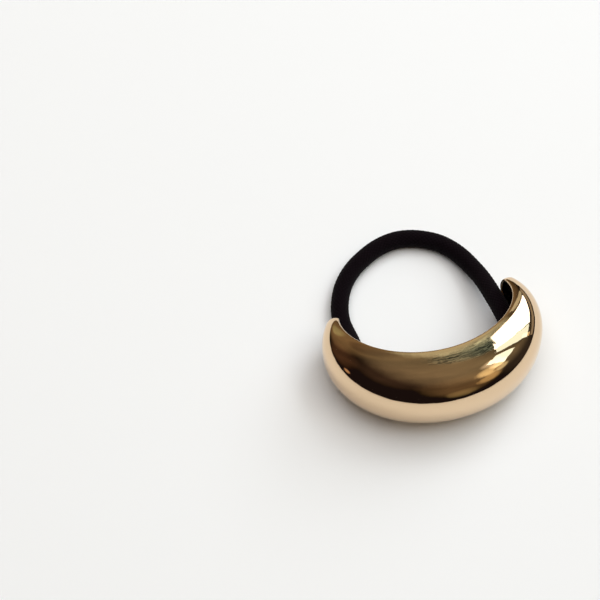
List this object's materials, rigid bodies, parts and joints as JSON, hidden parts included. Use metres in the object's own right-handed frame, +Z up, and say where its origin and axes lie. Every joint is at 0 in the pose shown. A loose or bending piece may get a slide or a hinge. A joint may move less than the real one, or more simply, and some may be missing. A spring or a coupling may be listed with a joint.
{
  "type": "ponytail cuff",
  "caption": "Hollow domed metal cuff, bent into a crescent and closed by a loop of elastic cord, that wraps round the base of a ponytail.",
  "frame": {"origin": "below the middle of the cuff, on the surface it rests on", "axes": "+X across the cuff from its left tip to its right tip, +Y from the dome towards the elastic cord, +Z up, which is along the ponytail"},
  "size_m": [0.0584, 0.0609, 0.0205],
  "materials": {
    "shell": "pale gold plate, polished to a mirror outside and cast with fine raised grains inside",
    "post": "pale gold plate, satin",
    "elastic": "matte black braided cover over a rubber core"
  },
  "bodies": {
    "root": {"cuff_shell": "shell", "cord_post_left": "post", "cord_post_right": "post", "elastic_cord": "elastic"}
  },
  "joints": []
}
